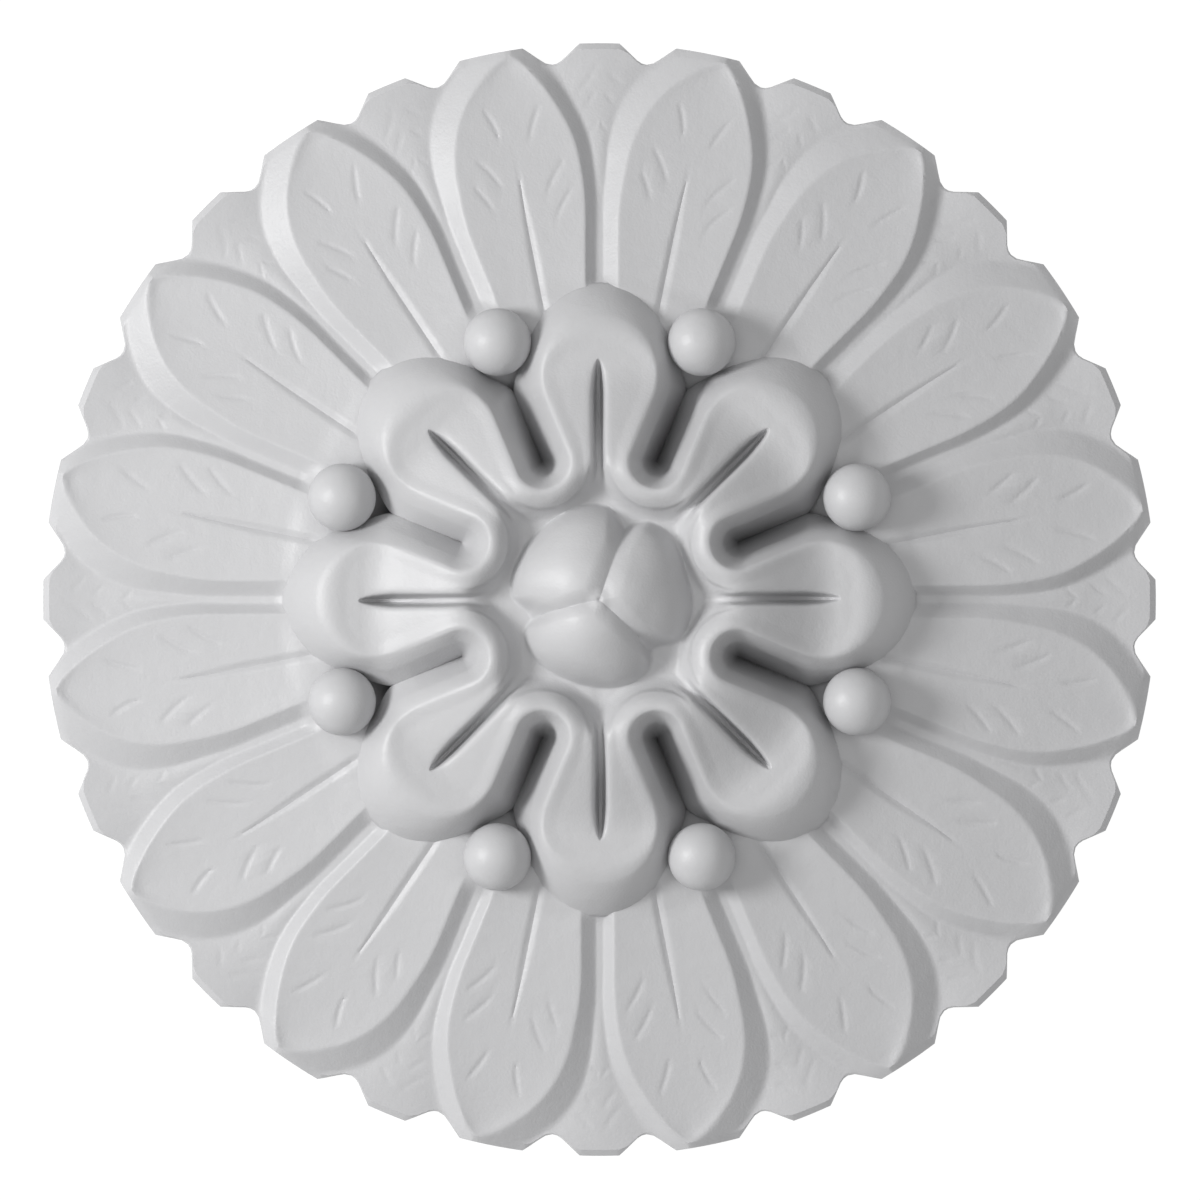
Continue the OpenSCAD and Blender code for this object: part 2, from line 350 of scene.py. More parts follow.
@dataclass(frozen=True)
class PrimerFinish:
    """White factory primer: a faintly mottled satin coat with a fine sprayed grain."""

    name: str = "primed_white"
    shade: float = 0.5
    mottle: float = 0.035
    mottle_per_m: float = 28.0
    ripple_tone: float = 0.6
    coolness: float = 1.017
    roughness: float = 0.46
    roughness_change: float = 0.08
    specular: float = 0.5
    grain_per_m: float = 900.0
    grain_depth: float = 0.0001
    ripple_per_m: float = 160.0
    ripple_depth: float = 0.00022

    def _noise(self, tree: NodeTree, place: Socket, per_m: float, detail: float) -> Socket:
        """Noise, about 0 to 1, with so many features a metre."""
        return tree.node("ShaderNodeTexNoise", {"Vector": place, "Scale": per_m, "Detail": detail}, "Fac")

    def material(self) -> bpy.types.Material:
        """Build the primer's nodes.

        Returns:
            The material: base colour and roughness follow a broad mottle, and a bump
            joins the broad ripple to the fine grain of the spray.
        """
        tree = NodeTree(self.name)
        place = tree.node("ShaderNodeTexCoord", {}, "Object")
        broad = self._noise(tree, place, self.mottle_per_m, 3.0)
        ripple = self._noise(tree, place, self.ripple_per_m, 2.0)
        grain = self._noise(tree, place, self.grain_per_m, 2.0)
        speckle = (ripple - 0.5) * (self.ripple_tone * self.mottle)
        tone = (broad - 0.5) * self.mottle + speckle + 1.0
        level = (tone * self.shade).clamped(0.0, 1.0)
        colour = tree.node("ShaderNodeCombineColor", {0: level, 1: level, 2: level * self.coolness})
        rough = (broad - 0.5) * self.roughness_change + self.roughness
        height = grain * self.grain_depth + ripple * self.ripple_depth
        bump = tree.node("ShaderNodeBump", {"Strength": 1.0, "Distance": 1.0, "Height": height}, "Normal")
        inputs = {
            "Base Color": colour,
            "Roughness": rough,
            "Normal": bump,
            "Specular IOR Level": self.specular,
        }
        return tree.coated(inputs)


@dataclass(frozen=True)
class StudioPaper:
    """Paper the rose lies on: its glow makes it white, and little light comes back off it."""

    name: str = "studio_paper"
    shade: float = 0.06
    roughness: float = 0.9
    glow: float = 0.98

    def material(self) -> bpy.types.Material:
        """Build the paper: matt and dark under an even white glow."""
        tree = NodeTree(self.name)
        inputs = {
            "Base Color": (self.shade, self.shade, self.shade, 1.0),
            "Roughness": self.roughness,
            "Emission Color": (1.0, 1.0, 1.0, 1.0),
            "Emission Strength": self.glow,
        }
        return tree.coated(inputs)


# ---------------- the flower's plan


@dataclass
class PetalPlan:
    """The serpentine edge that the petals and the channels between them share."""

    petals: int = 8
    lobe_at: float = 91.0
    channel_half: float = 11.2
    channel_at: float = 60.3
    wall_tip: float = 13.6
    wall_out: float = 8.0
    wall_least: float = 6.0
    wall_most: float = 12.0
    wall_lap: float = 0.3
    side_shares: Pair = (0.36, 0.50)
    end_share: float = 0.8

    @property
    def half_angle(self) -> float:
        """Half the angle from one petal to the next."""
        return 180.0 / self.petals

    @property
    def lobe_r(self) -> float:
        """Radius of a petal's round end."""
        return self.lobe_at * math.sin(math.radians(self.half_angle)) - self.channel_half

    def stations(self, spacing: float) -> tuple[Array, Array, Array, Array, Array]:
        """Points along half a petal's edge, from its tip to the channel's inner end.

        The edge is an arc round the petal's end, a straight side beside the channel and
        a quarter circle round the channel's end.

        Args:
            spacing: Distance between neighbouring points, halved round the channel's end.

        Returns:
            X and Y of the points, X and Y of their directions out of the petal, and the
            share of the way along the edge.
        """
        tilt = math.radians(self.half_angle)
        arc = (math.pi / 2 + tilt) * self.lobe_r
        side = self.lobe_at * math.cos(tilt) - self.channel_at
        end = math.pi / 2 * self.channel_half
        total = arc + side + end
        outer_count = int(round((arc + side) / spacing))
        end_count = int(round(2.0 * end / spacing)) + 1
        outer = np.linspace(0.0, arc + side, outer_count, endpoint=False)
        s = np.concatenate([outer, np.linspace(arc + side, total, end_count)])
        turn = np.clip(s, 0.0, arc) / self.lobe_r
        along = self.lobe_at * math.cos(tilt) - np.clip(s - arc, 0.0, side)
        back = np.clip(s - arc - side, 0.0, end) / self.channel_half
        ahead_x, ahead_y = math.sin(tilt), math.cos(tilt)
        on_arc = s <= arc
        nx = np.where(on_arc, np.sin(turn), ahead_y * np.cos(back) + ahead_x * np.sin(back))
        ny = np.where(on_arc, np.cos(turn), ahead_y * np.sin(back) - ahead_x * np.cos(back))
        x = np.where(on_arc, self.lobe_r * nx, along * ahead_x - self.channel_half * nx)
        y = np.where(on_arc, self.lobe_at + self.lobe_r * ny, along * ahead_y - self.channel_half * ny)
        return x, y, nx, ny, s / total

    def wall_width(self, share: Array, ex: Array, ey: Array, nx: Array, ny: Array) -> Array:
        """Width of the wall beyond the edge: in a channel, it just passes the middle line.

        Args:
            share: Share of the way along the petal's edge.
            ex, ey: The edge's points.
            nx, ny: The edge's outward directions.

        Returns:
            Width of the wall at each point.
        """
        tilt = math.radians(self.half_angle)
        ax, ay = math.sin(tilt), math.cos(tilt)
        to_middle = (ey * ax - ex * ay) / np.maximum(nx * ay - ny * ax, 0.3)
        to_middle = np.clip(to_middle, self.wall_least, self.wall_most)
        to_middle = np.where(share > self.end_share, self.channel_half, to_middle)
        at_side = mix(self.wall_out, to_middle + self.wall_lap, ramp(share, *self.side_shares))
        return mix(self.wall_tip, at_side, smooth(share * 2.2))


@dataclass
class LeafRing:
    """Sixteen long leaves over sixteen small ones, on the rose's flat back."""

    leaves: int = 16
    rim_r: float = 225.0
    rim_h: float = 7.0
    slope: float = 0.185
    slope_ease: float = 10.0
    lift_in: float = 3.9
    lift_out: float = 5.6
    growth_from: float = 150.0
    growth_to: float = 215.0
    face_turn: float = 0.5
    tip_turn: float = 1.3
    tip_turn_from: float = 196.0
    tip_turn_over: float = 28.0
    tip_half: float = 0.35
    leaf_half: float = 25.2
    leaf_arch: float = 45.0
    face_inset: float = 1.9
    wedge_left: float = 7.6
    wedge_right: float = 7.0
    side_left: Pair = (6.0, 15.5)
    side_right: Pair = (4.0, 8.0)
    round_left: Pair = (0.12, 0.07)
    round_right: Pair = (0.2, 0.09)
    dish: float = 1.1
    crown_in: float = 0.6
    crown_out: float = 2.0
    crown_start: Pair = (158.0, 185.0)
    crown_swell: Pair = (200.0, 222.0)
    small_tip: float = 2.05
    long_tip: float = 3.3
    notch_slope: float = 3.35
    notch_round: float = 8.0
    notch_turn: float = 0.6
    notch_pull: float = 22.0
    bevel_w: float = 2.4
    bevel_h: float = 2.6
    bevel_loss: float = 0.75
    bevel_cut: float = 3.0
    midrib_turn: float = 0.45
    midrib_fade: float = 140.0
    midrib_to: float = 178.0
    midrib_half: float = 2.5
    midrib_depth: float = 1.15
    groove_end: float = 128.5
    vein_depth: float = 0.5
    small_vein_share: float = 0.6
    channel_floor_h: float = 7.0
    channel_mouth: Pair = (84.0, 112.0)
    under_out: float = 114.0
    under_in: float = 47.0
    cone_r: float = 30.0
    cone_h: float = 20.0
    column_shift: Pair = (208.0, 219.0)
    sharp: float = 38.0
    keep: float = 0.52

    LONG_VEINS = (
        (-3.3, 189.7, -7.9, 203.8, 2.3, 0.8),
        (8.1, 187.0, 15.2, 201.7, 2.2, -0.5),
        (-5.9, 170.4, -14.6, 184.5, 2.3, 0.7),
        (10.7, 164.7, 20.9, 178.7, 2.1, -0.6),
        (-11.2, 162.4, -17.8, 174.9, 2.1, 0.5),
        (12.2, 153.6, 22.4, 167.3, 2.1, -0.7),
    )
    SMALL_VEINS = (
        (-10.0, 204.5, -1.2, 216.8, 2.4, 1.2),
        (9.6, 208.0, 3.0, 214.6, 2.1, -0.4),
        (-7.0, 198.5, -1.6, 206.2, 2.0, 0.6),
        (6.0, 200.5, 2.4, 205.0, 1.8, -0.3),
        (-4.6, 188.6, -0.6, 193.6, 1.6, 0.3),
        (3.4, 189.8, 0.2, 192.6, 1.6, -0.2),
    )
    ROW_BANDS = ((214.0, 9), (152.0, 62), (116.0, 18))
    COLUMN_COUNTS = (6, 6, 4, 9, 26, 26, 7, 4, 6, 6)

    @property
    def pitch(self) -> float:
        """Angle from one leaf to the next of its kind."""
        return 360.0 / self.leaves

    def ground(self, r: Array) -> Array:
        """Height of the small leaves: level at the rim, then a steady climb inwards."""
        u = np.maximum(self.rim_r - r, 0.0)
        return self.rim_h + self.slope * (u - self.slope_ease * (1.0 - np.exp(-u / self.slope_ease)))

    def growth(self, r: Array) -> Array:
        """Share of the way outwards over which the sides widen and rise."""
        return np.clip((r - self.growth_from) / (self.growth_to - self.growth_from), 0.0, 1.2)

    def marks(self, r: Array) -> tuple[Array, Array, Array, Array]:
        """Places, in mm of arc from a long leaf's axis, of its feet and its face's edges.

        The face is a pointed arch at the tip and a wedge further in, turned a little
        clockwise, and the side to its left is wider than the one to its right.

        Returns:
            Left foot, left edge, right edge and right foot.
        """
        per_degree = np.radians(1.0) * r
        bend = np.clip((r - self.tip_turn_from) / self.tip_turn_over, 0.0, 1.0)
        middle = per_degree * (self.face_turn + self.tip_turn * bend**2)
        u = np.clip((self.rim_r - self.face_inset - r) / self.leaf_arch, 0.0, 1.0)
        arch = self.leaf_half * (1.0 - (1.0 - u) ** 2) ** 0.8
        half_pitch = per_degree * self.pitch / 2.0
        left = soft_min(arch, half_pitch - self.wedge_left + middle, 2.0)
        right = soft_min(arch, half_pitch - self.wedge_right - middle + 1.2, 2.0)
        grown = self.growth(r)
        side_left = mix(self.side_left[0], self.side_left[1], grown**1.6)
        side_right = mix(self.side_right[0], self.side_right[1], grown**1.3)
        foot_left = np.maximum(middle - left - side_left, -half_pitch + 0.5)
        foot_right = np.minimum(middle + right + side_right, half_pitch - 0.5)
        return foot_left, middle - left, middle + right, foot_right

    def notch(self, angle: Array) -> Array:
        """How deep the outline is cut at an angle from a small leaf's axis.

        Two straight flanks run in from the corners of the tips and meet in a rounded
        bottom.
        """
        a = np.abs(wrapped(angle, self.pitch))
        down = self.notch_slope * (a - self.small_tip)
        up = self.notch_slope * (self.pitch / 2 - self.long_tip - a)
        return np.maximum(soft_min(down, up, self.notch_round), 0.0)

    def height(self, r: Array, angle: Array) -> Array:
        """Height of the leaves' carved face.

        Ground, crowned small leaf, the long leaf's lifted side as a soft ramp between
        foot and edge, its dished face, and its midrib and veins cut in.
        """
        per_degree = np.radians(1.0) * r
        x_long = per_degree * (np.mod(angle, self.pitch) - self.pitch / 2)
        x_small = per_degree * wrapped(angle, self.pitch)
        foot_left, edge_left, edge_right, foot_right = self.marks(r)
        half_pitch = per_degree * self.pitch / 2
        reach_left = np.maximum(edge_left - foot_left, 0.5)
        reach_right = np.maximum(foot_right - edge_right, 0.5)
        rise_left, rise_right = (x_long - foot_left) / reach_left, (foot_right - x_long) / reach_right
        side = np.minimum(soft_ramp(rise_left, *self.round_left), soft_ramp(rise_right, *self.round_right))
        half_face = np.maximum((edge_right - edge_left) / 2, 0.5)
        across = np.clip((x_long - (edge_left + edge_right) / 2) / half_face, -1.0, 1.0)
        dish = self.dish * (1.0 - across**2) * smooth(half_face / 8.0)
        half_small = np.where(x_small > 0, half_pitch + foot_left, half_pitch - foot_right)
        off = np.clip(np.abs(x_small) / np.maximum(half_small, 1.0), 0.0, 1.0)
        crown = mix(self.crown_in, self.crown_out, ramp(r, *self.crown_swell)) * ramp(r, *self.crown_start)
        filled = ramp(r, self.groove_end + 2.0, self.groove_end - 6.0)
        share = mix(side, np.ones_like(side), filled)
        lift = mix(self.lift_in, self.lift_out, self.growth(r))
        z = self.ground(r) + lift * share - dish * (1.0 - filled) + crown * (1.0 - off**2)
        return z - self.cuts(r, x_long, x_small)

    def cuts(self, r: Array, x_long: Array, x_small: Array) -> Array:
        """Depth of the midrib and of the veins' strokes."""
        fade = 1.0 - ramp(r, self.midrib_fade, self.midrib_to)
        half = self.midrib_half * (0.25 + 0.75 * fade) + 1e-6
        off = np.abs(x_long - np.radians(self.midrib_turn) * r) / half
        fine = np.clip((self.midrib_to + 4.0 - r) / 12.0, 0.0, 1.0)
        depth = self.midrib_depth * (0.45 + 0.55 * fade) * smooth(fine) * np.clip(1.0 - off, 0.0, 1.0) ** 1.2
        for vein in self.LONG_VEINS:
            depth = depth + self.vein_depth * stroke_depth(x_long, r, vein)
        for vein in self.SMALL_VEINS:
            depth = depth + self.small_vein_share * self.vein_depth * stroke_depth(x_small, r, vein)
        return depth

    def sector_columns(self, r: Array) -> Array:
        """Angles of one sector's columns, which keep to the leaf's feet and edges.

        Args:
            r: Radii of the rows.

        Returns:
            Angles from the small leaf's axis, one row for each radius. Near the rim they
            move over to the corners and the bottoms of the notches.
        """
        foot_left, edge_left, edge_right, foot_right = self.marks(r)
        to_angle = 1.0 / (np.radians(1.0) * r)
        half = self.pitch / 2
        left = [foot_left, mix(foot_left, edge_left, 0.35), edge_left]
        right = [edge_right, mix(foot_right, edge_right, 0.35), foot_right]
        long = [half + place * to_angle for place in left + [0.5 * (edge_left + edge_right)] + right]
        ends = 0.0 * r, self.pitch + 0.0 * r
        inner = np.stack([ends[0], 0.5 * long[0], *long, 0.5 * (self.pitch + long[-1]), ends[1]])
        tip = half + self.face_turn + self.tip_turn
        rising = [0.0, self.small_tip, half / 2 - self.notch_turn, half - self.long_tip]
        arch = [tip - self.tip_half, tip, tip + self.tip_half]
        outer = np.array(rising + arch + [self.pitch - a for a in rising[::-1]])[:, None]
        marks = mix(inner, outer, ramp(r, *self.column_shift))
        spread = [np.linspace(0.0, 1.0, n, endpoint=False)[:, None] for n in self.COLUMN_COUNTS]
        return np.concatenate([mix(marks[i], marks[i + 1], part) for i, part in enumerate(spread)]).T

    def row_radii(self) -> Array:
        """Nominal radii of the rows: the rim's, the veins', close together, and the inner ones."""
        rows, start = [], self.rim_r - self.bevel_w
        for end, count in self.ROW_BANDS:
            rows.append(np.linspace(start, end, count, endpoint=False))
            start = end
        return np.concatenate(rows)

    def build(self) -> bpy.types.Object:
        """Build the ring of leaves as one closed shell.

        Rows run from the middle of the back, out to the rim, up its edge and over the
        bevel, and then in over the carved face to a plain cone under the flower.
        """
        radii = np.concatenate([[self.rim_r], self.row_radii()])
        angles = self.sector_columns(radii)
        turns = np.arange(self.leaves) * self.pitch
        angles = (angles[:, None, :] + turns[None, :, None]).reshape(len(radii), -1)
        cut = self.notch(angles)
        depth = (self.rim_r - radii)[:, None]
        pull = np.clip(1.0 - depth / self.notch_pull, 0.0, 1.0) ** 2
        r = radii[:, None] - cut * pull
        z = self.height(r, angles)
        lip = 1.0 - self.bevel_loss * np.clip(cut[0] / self.bevel_cut, 0.0, 1.0)
        r[1] = r[0] - self.bevel_w * lip
        z[1] = self.height(r[1], angles[1])
        x, y = polar(r, angles)
        rows = [
            np.stack([x[0], y[0], 0.0 * x[0]], axis=-1),
            np.stack([x[0], y[0], z[1] - self.bevel_h * lip], axis=-1),
        ]
        rows += list(np.stack([x, y, z], axis=-1)[1:])
        grid = np.stack(rows + self.cone_rows(angles[-1]))
        shell = capped(grid, (0.0, 0.0, 0.0), (0.0, 0.0, self.cone_h))
        return make_piece("leaf_ring", *shell, self.sharp, self.keep)

    def cone_rows(self, angles: Array) -> list[Array]:
        """Rows under the flower, lower than the channels, then a cone down inside.

        Args:
            angles: The columns' angles.

        Returns:
            One array of points for each row.
        """
        rows = []
        leaves_h = self.ground(self.under_out) + self.lift_in
        for r in np.linspace(self.under_out, self.under_in, 18):
            x, y = polar(np.full_like(angles, r), angles)
            floor = mix(self.channel_floor_h, leaves_h, ramp(r, *self.channel_mouth))
            rows.append(np.stack([x, y, floor + 0.0 * x], axis=-1))
        x, y = polar(np.full_like(angles, self.cone_r), angles)
        rows.append(np.stack([x, y, 0.0 * x + self.cone_h], axis=-1))
        return rows


@dataclass
class Flower:
    """Eight petals with rolled lips, slit down the middle, round a moat."""

    plan: PetalPlan
    spacing: float = 1.12
    lobe_h: float = 46.3
    crest_h: float = 65.0
    fall_from: float = 52.0
    fall_to: float = 97.0
    lip_in: float = 0.85
    lip_out: float = 0.3
    lip_run: float = 5.5
    inset_tip: float = 8.0
    inset_side: float = 1.5
    shoulder_tip: float = 2.6
    shoulder_side: float = 0.9
    slit_end: float = 97.6
    slit_half: float = 1.8
    slit_depth: float = 12.5
    slit_deepens: float = 16.0
    slit_widens: float = 14.0
    slit_edge: float = 1.7
    slit_edge_w: float = 6.0
    slit_edge_grows: float = 7.0
    slit_sway: float = 0.45
    sway_span: Pair = (42.0, 70.0)
    rise_span: Pair = (78.0, 57.0)
    mouth_rise: float = 4.6
    mouth_span: Pair = (55.0, 37.0)
    mouth_fall: float = 5.2
    mouth_half: float = 5.0
    mouth_half_span: Pair = (54.5, 40.0)
    powers: Pair = (5.0, 3.0)
    powers_span: Pair = (56.0, 46.0)
    roll_from: float = 12.4
    roll_to: float = 25.0
    roll_drop: float = 10.8
    roll_span: Pair = (56.0, 38.0)
    roll_blend: float = 1.6
    step_at: float = 19.2
    step_half: float = 0.45
    step_drop: float = 2.5
    inner_r: float = 36.0
    corner_share: float = 0.93
    foot_h: float = 25.0
    trenches_h: tuple[float, ...] = (10.0, 12.0, 12.0, 10.0, 14.0, 37.0, 37.0, 17.0)
    early_slope: float = 0.75
    trench_shares: Pair = (0.34, 0.56)
    trench_slope: float = 2.6
    steady_most: float = 0.85
    plunge_from: float = 0.45
    bottom_h: float = 5.0
    cap_h: float = 48.0
    sharp: float = 45.0

    START_SHARES = (0.0, 0.11, 0.21, 0.32, 0.42, 0.53, 0.62, 0.72, 0.80)
    START_RADII = (97.55, 97.2, 96.2, 94.3, 91.6, 88.0, 79.6, 70.3, 60.0)
    FIRST_LEG = (0.0, 0.12, 0.22, 0.30, 0.37, 0.44, 0.51, 0.59, 0.69, 0.83)

    def face(self, r: Array) -> Array:
        """Height of the petals' faces: an eased fall from the ridge to the petal ends."""
        return mix(self.crest_h, self.lobe_h, ramp(r, self.fall_from, self.fall_to))

    def slit(self, x: Array, y: Array) -> Array:
        """Depth of the slit down a petal's axis, and of the open mouth it leads to.

        Across, it falls off as one over one plus a power of the distance in half widths,
        and its edges are rounded by a parabola. Its outer end is blunt. Its floor rises a
        little towards the middle of the rose and then dips into the moat, while the slit
        widens.
        """
        inside = np.clip(self.slit_end - y, 0.0, None)
        mouth = ramp(y, *self.mouth_span)
        depth = self.slit_depth * (1.0 - (1.0 - np.minimum(inside / self.slit_deepens, 1.0)) ** 2)
        depth = depth - self.mouth_rise * ramp(y, *self.rise_span) + self.mouth_fall * mouth
        half = self.slit_half * np.minimum(inside / self.slit_widens, 1.0) ** 0.4
        half = half + self.mouth_half * ramp(y, *self.mouth_half_span) + 0.02
        off = np.abs(x + self.sway(y))
        edge = self.slit_edge * np.minimum(inside / self.slit_edge_grows, 1.0) * (1.0 - mouth)
        edge = edge * np.clip(1.0 - off / self.slit_edge_w, 0.0, 1.0) ** 2
        power = mix(*self.powers, ramp(y, *self.powers_span))
        return np.maximum(depth - edge, 0.0) / (1.0 + (off / half) ** power) + edge

    def sway(self, y: Array) -> Array:
        """How far the slit lies to the anticlockwise side of the petal's axis."""
        return self.slit_sway * ramp(y, *self.sway_span)

    def roll(self, x: Array, y: Array) -> Array:
        """Fall of the rolled margin round a channel's inner end, down to the moat.

        It depends on the distance from the channel's middle line: an eased fall with a
        small step in it, faded out along the petals' flanks.
        """
        tilt = math.radians(self.plan.half_angle)
        ax, ay = math.sin(tilt), math.cos(tilt)
        along = np.abs(x) * ax + y * ay
        beside = np.abs(x) * ay - y * ax
        out = np.hypot(np.minimum(along - self.plan.channel_at, 0.0), beside)
        fall = self.roll_drop * ramp(out, self.roll_from, self.roll_to)
        fall = fall + self.step_drop * ramp(out, self.step_at - self.step_half, self.step_at + self.step_half)
        return fall * ramp(along, *self.roll_span)

    def top(self, x: Array, y: Array) -> Array:
        """Height of the flower's top at a point of one petal's sector, without the lip."""
        r = np.hypot(x, y)
        return self.face(r) - soft_max(self.slit(x, y), self.roll(x, y), self.roll_blend)

    def top_anywhere(self, r: Array, angle: Array) -> Array:
        """Height of the top at a radius and a clockwise angle anywhere in the ring."""
        return self.top(*polar(r, wrapped(angle, 2.0 * self.plan.half_angle)))

    def starts(self, share: Array) -> tuple[Array, Array, Array, Array]:
        """Where each column starts, and its first direction and length.

        Columns start down the slit's middle and then round the moat's inner edge, and one
        of them starts just where the two lines meet.

        Args:
            share: Share of the way along the petal's edge, as one column.

        Returns:
            X and Y of the starting points, and the clockwise angle and the length of the
            first leg.
        """
        knots = [*self.START_SHARES, self.corner_share, 1.0]
        r = np.interp(share, knots, [*self.START_RADII, self.inner_r, self.inner_r])
        past = (share - self.corner_share) / (1.0 - self.corner_share)
        angle = self.plan.half_angle * np.clip(past, 0.0, 1.0)
        corner = np.argmin(np.abs(share - self.corner_share))
        r[corner], angle[corner] = self.inner_r, 0.0
        x, y = polar(r, angle)
        return x, y, 90.0 * ramp(share, 0.0, 0.3), mix(1.2, 5.0, ramp(share, 0.0, 0.42))

    def paths(self, share: Array, crest: tuple[Array, Array], out: tuple[Array, Array]) -> tuple:
        """Plan of the columns from the slit's middle to the crest of the lip.

        Each column has a straight leg across the slit and goes on along a parabola,
        which meets the crest square on; beside the channel's end it is straight.

        Args:
            share: Share of the way along the petal's edge, as one column.
            crest: X and Y of the lip's crest.
            out: X and Y of the edge's outward directions.

        Returns:
            X and Y of the points, and the length from the first leg's end to the crest.
        """
        (cx, cy), (nx, ny) = crest, out
        sx, sy, heading, length = self.starts(share)
        straight = ramp(share, 0.66, 0.80)
        heading = mix(heading, np.degrees(np.arctan2(cx - sx, cy - sy)), straight)
        hx, hy = polar(length, heading)
        first = np.array(self.FIRST_LEG)
        ax, ay = sx + hx * first, sy + hy * first
        bx, by = sx + hx, sy + hy
        run = np.hypot(cx - bx, cy - by)
        mx, my = cx - 0.5 * run * nx, cy - 0.5 * run * ny
        mx = np.maximum(mx, mix(0.35, 0.7, ramp(share, 0.3, 0.6)) * np.minimum(cx, bx + 4.0))
        mx, my = mix(mx, 0.5 * (bx + cx), straight), mix(my, 0.5 * (by + cy), straight)
        u = np.concatenate([np.linspace(0.0, 0.6, 12, endpoint=False), np.linspace(0.6, 1.0, 11)])
        a, b, c = (1 - u) ** 2, 2 * u * (1 - u), u**2
        px = np.concatenate([ax, a * bx + b * mx + c * cx], axis=1)
        py = np.concatenate([ay, a * by + b * my + c * cy], axis=1)
        return px, py, run

    def wall_fall(self, share: Array, edge_z: Array, width: Array, trench_h: float, t: Array) -> Array:
        """Fall of the wall below the petal's edge.

        On the outside the wall falls by a straight part and a part that grows as the
        1.75th power of the distance, and in the channels it falls steadily before it
        plunges.

        Args:
            share: Share of the way along the petal's edge, as one column.
            edge_z: Height of the edge.
            width: Width of the wall.
            trench_h: Height of the bottom of the channel beside the wall.
            t: Shares of the way out, as one row.

        Returns:
            Fall, columns by rows.
        """
        outer_fall = edge_z - self.foot_h
        early = self.early_slope * width
        outer = early * t + (outer_fall - early) * t**1.75
        trench_fall = edge_z - trench_h
        steady = np.minimum(self.trench_slope * width, self.steady_most * trench_fall)
        plunge = np.clip((t - self.plunge_from) / (1.0 - self.plunge_from), 0.0, 1.0) ** 0.85
        trench = steady * t**1.15 + (trench_fall - steady) * plunge
        return mix(outer, trench, ramp(share, *self.trench_shares))

    def half_petal(self, side: float, trench_h: float) -> Array:
        """Grid of points over half a petal, one column for each station of its edge.

        A column crosses half the slit, runs along a curve to the crest of the lip, over
        the rounded shoulder, down the wall and under the leaves.

        Args:
            side: 1 for the clockwise half, -1 for the other, which is its mirror image
                in plan.
            trench_h: Height of the bottom of the channel beside this half.

        Returns:
            Points as columns by rows by three.
        """
        ex, ey, nx, ny, share = (each[:, None] for each in self.plan.stations(self.spacing))
        inset = mix(self.inset_tip, self.inset_side, ramp(share, 0.0, 0.40))
        cx, cy = ex - nx * inset, ey - ny * inset
        px, py, run = self.paths(share, (cx, cy), (nx, ny))
        from_crest = np.hypot(cx - px, cy - py)
        lip_h = mix(self.lip_out, self.lip_in, ramp(share, 0.35, 0.8))
        lip = lip_h * smooth(1.0 - from_crest / np.minimum(self.lip_run, 0.8 * run))
        back = np.clip(1.0 - np.arange(px.shape[1]) / 20.0, 0.0, 1.0)
        px = side * px - self.sway(py) * back
        pz = self.top(px, py) + lip
        over = np.linspace(0.0, 1.0, 9)[1:]
        ox, oy = mix(cx, ex, over), mix(cy, ey, over)
        shoulder = mix(self.shoulder_tip, self.shoulder_side, ramp(share, 0.0, 0.40))
        edge_z = self.face(np.hypot(ex, ey)) + lip_h - shoulder
        oz = mix(pz[:, -1:], edge_z, over**2.1)
        width = self.plan.wall_width(share, ex, ey, nx, ny)
        t = np.linspace(0.0, 1.0, 19)[1:]
        wz = edge_z - self.wall_fall(share, edge_z, width, trench_h, t)
        wx, wy = ex + nx * width * t, ey + ny * width * t
        low = np.full_like(width, self.bottom_h)
        x = np.concatenate([px, side * ox, side * wx, side * wx[:, -1:], px[:, :1]], axis=1)
        y = np.concatenate([py, oy, wy, wy[:, -1:], py[:, :1]], axis=1)
        z = np.concatenate([pz, oz, wz, low, low], axis=1)
        return np.stack([x, y, z], axis=-1)

    def build(self) -> bpy.types.Object:
        """Build the flower as one closed shell of turned petals.

        The two halves of a petal meet down the middle of its slit, where they are
        welded, and the moat's ring is closed under the boss.
        """
        petals = []
        for number, (before, after) in enumerate(zip(np.roll(self.trenches_h, 1), self.trenches_h)):
            left, right = self.half_petal(-1.0, before), self.half_petal(1.0, after)
            petal = np.concatenate([left[::-1][1:], right[1:]])
            petals.append(turned(petal, number * 2.0 * self.plan.half_angle))
        grid = np.concatenate(petals)
        columns, rows = grid.shape[:2]
        caps_at = [[0.0, 0.0, self.cap_h], [0.0, 0.0, self.bottom_h]]
        points = np.concatenate([grid.transpose(1, 0, 2)[::-1].reshape(-1, 3), caps_at])
        inner = np.hypot(grid[:, 0, 0], grid[:, 0, 1]) < self.inner_r + 0.01
        ring = np.arange(columns)[inner]
        top, bottom = len(points) - 2, len(points) - 1
        caps = np.concatenate([fan(ring + (rows - 1) * columns, top, True), fan(ring, bottom, False)])
        points, quads, caps = weld(points, closed_skin(rows, columns), caps)
        return make_piece("flower", points, quads, caps, self.sharp)


